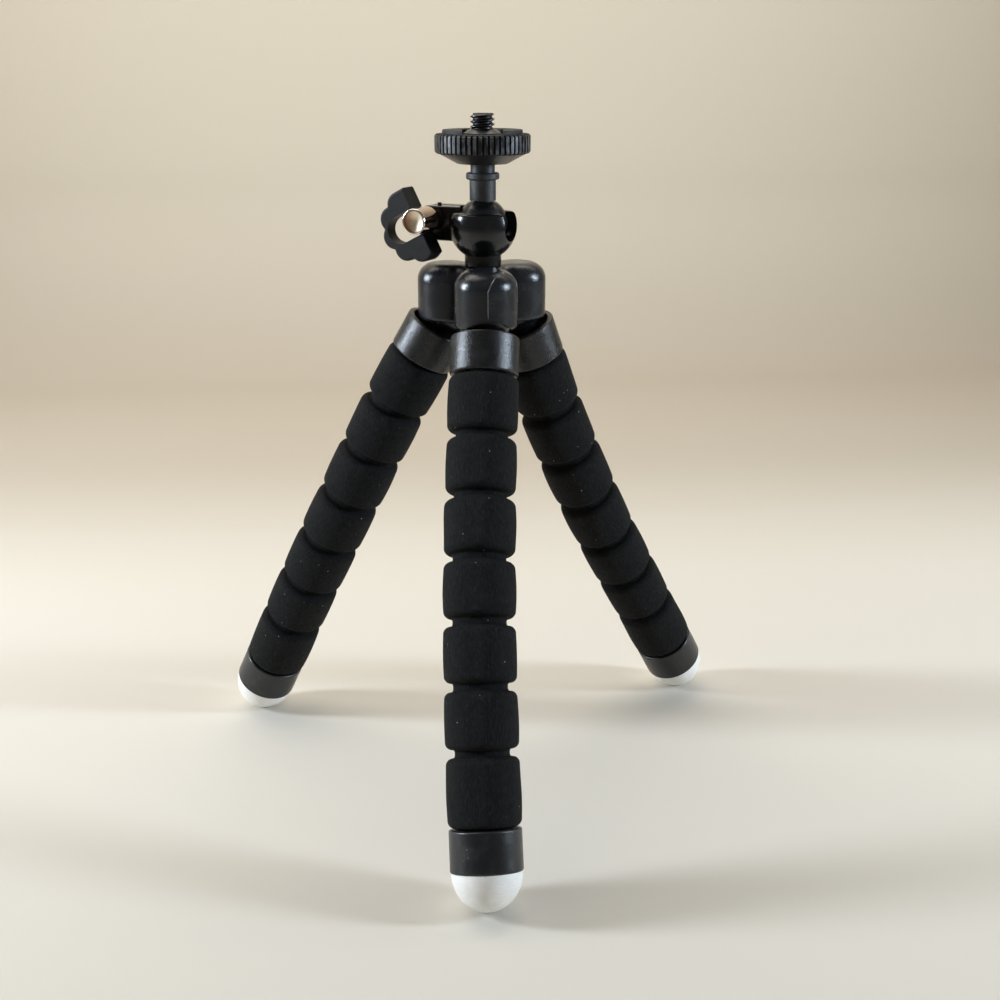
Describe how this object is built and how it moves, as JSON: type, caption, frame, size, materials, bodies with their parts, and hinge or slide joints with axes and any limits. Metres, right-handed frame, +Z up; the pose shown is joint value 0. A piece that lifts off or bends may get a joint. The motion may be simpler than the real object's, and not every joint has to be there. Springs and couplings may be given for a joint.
{
  "type": "mini camera tripod",
  "caption": "Tabletop camera tripod with a clamped ball head, a knurled lock wheel under its camera screw, and bendable segmented foam legs with white feet.",
  "frame": {"origin": "the middle of the bounding box's base, on the surface the feet stand on", "axes": "+Z up along the head and the camera screw; -Y towards the front leg; +X towards the right-hand leg"},
  "size_m": [0.1506, 0.1334, 0.1836],
  "materials": {
    "black_gloss": "moulded, glossy black",
    "black_satin": "moulded, satin black",
    "black_rough": "moulded, fine spark-eroded black",
    "stem_metal": "black oxide over steel, satin",
    "bright_metal": "bright nickel plate",
    "bolt_metal": "dull turned steel",
    "foam": "closed-cell foam, charcoal, fine grain",
    "pad_rubber": "soft moulded rubber, black",
    "tip_rubber": "white moulded rubber, satin",
    "core_wire": "annealed steel wire"
  },
  "bodies": {
    "hub_and_housing": {"hub": "black_gloss", "hub_screw": "bolt_metal", "hub_washer": "bolt_metal", "ball_housing": "black_gloss", "clamp_nut": "bolt_metal", "front_wire": "core_wire", "left_wire": "core_wire", "right_wire": "core_wire"},
    "ball_body": {"ball": "stem_metal"},
    "stem_body": {"stem": "stem_metal", "camera_screw": "stem_metal"},
    "pad_body": {"mount_pad": "pad_rubber"},
    "wheel_body": {"lock_wheel": "black_gloss"},
    "clamp_body": {"clamp_bolt": "bolt_metal", "clamp_barrel": "bright_metal", "clamp_knob": "black_rough"},
    "front_segment_1": {"front_knuckle": "black_gloss", "front_collar": "black_satin", "front_foam_1": "foam", "front_sleeve": "foam"},
    "front_segment_2": {"front_foam_2": "foam"},
    "front_segment_3": {"front_foam_3": "foam"},
    "front_segment_4": {"front_foam_4": "foam"},
    "front_segment_5": {"front_foam_5": "foam"},
    "front_segment_6": {"front_foam_6": "foam"},
    "front_segment_7": {"front_foam_7": "foam", "front_end_cap": "black_satin", "front_foot_tip": "tip_rubber"},
    "left_segment_1": {"left_knuckle": "black_gloss", "left_collar": "black_satin", "left_foam_1": "foam", "left_sleeve": "foam"},
    "left_segment_2": {"left_foam_2": "foam"},
    "left_segment_3": {"left_foam_3": "foam"},
    "left_segment_4": {"left_foam_4": "foam"},
    "left_segment_5": {"left_foam_5": "foam"},
    "left_segment_6": {"left_foam_6": "foam"},
    "left_segment_7": {"left_foam_7": "foam", "left_end_cap": "black_satin", "left_foot_tip": "tip_rubber"},
    "right_segment_1": {"right_knuckle": "black_gloss", "right_collar": "black_satin", "right_foam_1": "foam", "right_sleeve": "foam"},
    "right_segment_2": {"right_foam_2": "foam"},
    "right_segment_3": {"right_foam_3": "foam"},
    "right_segment_4": {"right_foam_4": "foam"},
    "right_segment_5": {"right_foam_5": "foam"},
    "right_segment_6": {"right_foam_6": "foam"},
    "right_segment_7": {"right_foam_7": "foam", "right_end_cap": "black_satin", "right_foot_tip": "tip_rubber"}
  },
  "joints": [
    {"name": "ball_tilt", "type": "hinge", "parent": "hub_and_housing", "child": "ball_body", "pos_m": [0.00116, 0.01866, 0.1559], "axis": [0.5, 0.866, 0], "range_deg": [-12, 90]},
    {"name": "stem_spin", "type": "hinge", "parent": "ball_body", "child": "stem_body", "pos_m": [0.00116, 0.01866, 0.1559], "axis": [0, 0, 1], "continuous": true},
    {"name": "pad_rise", "type": "slide", "parent": "stem_body", "child": "pad_body", "axis": [0, 0, 1], "range_m": [-0.00191, 0]},
    {"name": "lock_wheel_turn", "type": "hinge", "parent": "pad_body", "child": "wheel_body", "pos_m": [0.00116, 0.01866, 0.1785], "axis": [0, 0, 1], "range_deg": [-540, 0]},
    {"name": "clamp_knob_turn", "type": "hinge", "parent": "hub_and_housing", "child": "clamp_body", "pos_m": [-0.01045, 0.02536, 0.1568], "axis": [-0.5, -0.866, 0], "range_deg": [-30, 26]},
    {"name": "front_hip", "type": "hinge", "parent": "hub_and_housing", "child": "front_segment_1", "pos_m": [0.00116, 0.00816, 0.1325], "axis": [-0.9877, 0.1564, 0], "range_deg": [-17, 11], "deforming": ["front_wire"]},
    {"name": "front_bend_1", "type": "hinge", "parent": "front_segment_1", "child": "front_segment_2", "pos_m": [-0.00107, -0.00592, 0.10426], "axis": [0.9898, -0.1426, 0], "range_deg": [-8.6, 15.4], "deforming": ["front_wire", "front_sleeve"]},
    {"name": "front_bend_2", "type": "hinge", "parent": "front_segment_2", "child": "front_segment_3", "pos_m": [-0.00211, -0.01389, 0.09042], "axis": [-0.0983, -0.8495, 0.5183], "range_deg": [-12.8, 11.2], "deforming": ["front_wire", "front_sleeve"]},
    {"name": "front_bend_3", "type": "hinge", "parent": "front_segment_3", "child": "front_segment_4", "pos_m": [-0.00297, -0.02239, 0.07689], "axis": [-0.9962, 0.0872, 0], "range_deg": [-10.2, 13.8], "deforming": ["front_wire", "front_sleeve"]},
    {"name": "front_bend_4", "type": "hinge", "parent": "front_segment_4", "child": "front_segment_5", "pos_m": [-0.00356, -0.03048, 0.0631], "axis": [0.0518, 0.8725, -0.4858], "range_deg": [-11.2, 12.8], "deforming": ["front_wire", "front_sleeve"]},
    {"name": "front_bend_5", "type": "hinge", "parent": "front_segment_5", "child": "front_segment_6", "pos_m": [-0.0039, -0.0379, 0.04893], "axis": [0.9995, -0.0314, 0], "range_deg": [-13.2, 10.8], "deforming": ["front_wire", "front_sleeve"]},
    {"name": "front_bend_6", "type": "hinge", "parent": "front_segment_6", "child": "front_segment_7", "pos_m": [-0.00403, -0.04503, 0.03461], "axis": [-0.0031, -0.894, 0.448], "range_deg": [-12.7, 11.3], "deforming": ["front_wire", "front_sleeve"]},
    {"name": "left_hip", "type": "hinge", "parent": "hub_and_housing", "child": "left_segment_1", "pos_m": [-0.00794, 0.02391, 0.1325], "axis": [0.274, 0.9617, 0], "range_deg": [-17, 11], "deforming": ["left_wire"]},
    {"name": "left_bend_1", "type": "hinge", "parent": "left_segment_1", "child": "left_segment_2", "pos_m": [-0.02315, 0.02824, 0.1051], "axis": [-0.3056, -0.9522, 0], "range_deg": [-14.6, 9.4], "deforming": ["left_wire", "left_sleeve"]},
    {"name": "left_bend_2", "type": "hinge", "parent": "left_segment_2", "child": "left_segment_3", "pos_m": [-0.03008, 0.03072, 0.09089], "axis": [-0.8265, 0.3268, 0.4583], "range_deg": [-10.3, 13.7], "deforming": ["left_wire", "left_sleeve"]},
    {"name": "left_bend_3", "type": "hinge", "parent": "left_segment_3", "child": "left_segment_4", "pos_m": [-0.03678, 0.03363, 0.07666], "axis": [0.4283, 0.9036, 0], "range_deg": [-12.6, 11.4], "deforming": ["left_wire", "left_sleeve"]},
    {"name": "left_bend_4", "type": "hinge", "parent": "left_segment_4", "child": "left_segment_5", "pos_m": [-0.04341, 0.03705, 0.06251], "axis": [0.7724, -0.4307, -0.4668], "range_deg": [-13.8, 10.2], "deforming": ["left_wire", "left_sleeve"]},
    {"name": "left_bend_5", "type": "hinge", "parent": "left_segment_5", "child": "left_segment_6", "pos_m": [-0.04983, 0.04091, 0.04837], "axis": [-0.5435, -0.8394, 0], "range_deg": [-12, 12], "deforming": ["left_wire", "left_sleeve"]},
    {"name": "left_bend_6", "type": "hinge", "parent": "left_segment_6", "child": "left_segment_7", "pos_m": [-0.05597, 0.04518, 0.03422], "axis": [-0.707, 0.5272, 0.4714], "range_deg": [-10.2, 13.8], "deforming": ["left_wire", "left_sleeve"]},
    {"name": "right_hip", "type": "hinge", "parent": "hub_and_housing", "child": "right_segment_1", "pos_m": [0.01025, 0.02391, 0.1325], "axis": [0.4818, -0.8763, 0], "range_deg": [-17, 11], "deforming": ["right_wire"]},
    {"name": "right_bend_1", "type": "hinge", "parent": "right_segment_1", "child": "right_segment_2", "pos_m": [0.02075, 0.02968, 0.10322], "axis": [-0.4874, 0.8732, 0], "range_deg": [-9, 15], "deforming": ["right_wire", "right_sleeve"]},
    {"name": "right_bend_2", "type": "hinge", "parent": "right_segment_2", "child": "right_segment_3", "pos_m": [0.02669, 0.03304, 0.08875], "axis": [0.7775, 0.4471, 0.4423], "range_deg": [-12.3, 11.7], "deforming": ["right_wire", "right_sleeve"]},
    {"name": "right_bend_3", "type": "hinge", "parent": "right_segment_3", "child": "right_segment_4", "pos_m": [0.03302, 0.03674, 0.07452], "axis": [0.5095, -0.8604, 0], "range_deg": [-14.2, 9.8], "deforming": ["right_wire", "right_sleeve"]},
    {"name": "right_bend_4", "type": "hinge", "parent": "right_segment_4", "child": "right_segment_5", "pos_m": [0.03976, 0.04079, 0.06059], "axis": [-0.7368, -0.4492, -0.5053], "range_deg": [-11.6, 12.4], "deforming": ["right_wire", "right_sleeve"]},
    {"name": "right_bend_5", "type": "hinge", "parent": "right_segment_5", "child": "right_segment_6", "pos_m": [0.04682, 0.04515, 0.04691], "axis": [-0.5314, 0.8471, 0], "range_deg": [-11, 13], "deforming": ["right_wire", "right_sleeve"]},
    {"name": "right_bend_6", "type": "hinge", "parent": "right_segment_6", "child": "right_segment_7", "pos_m": [0.05402, 0.04974, 0.03338], "axis": [0.713, 0.4601, 0.5292], "range_deg": [-12.4, 11.6], "deforming": ["right_wire", "right_sleeve"]}
  ],
  "couplings": [
    {"joint": "lock_wheel_turn", "follows": "pad_rise", "rad_per_m": 4947.4}
  ]
}
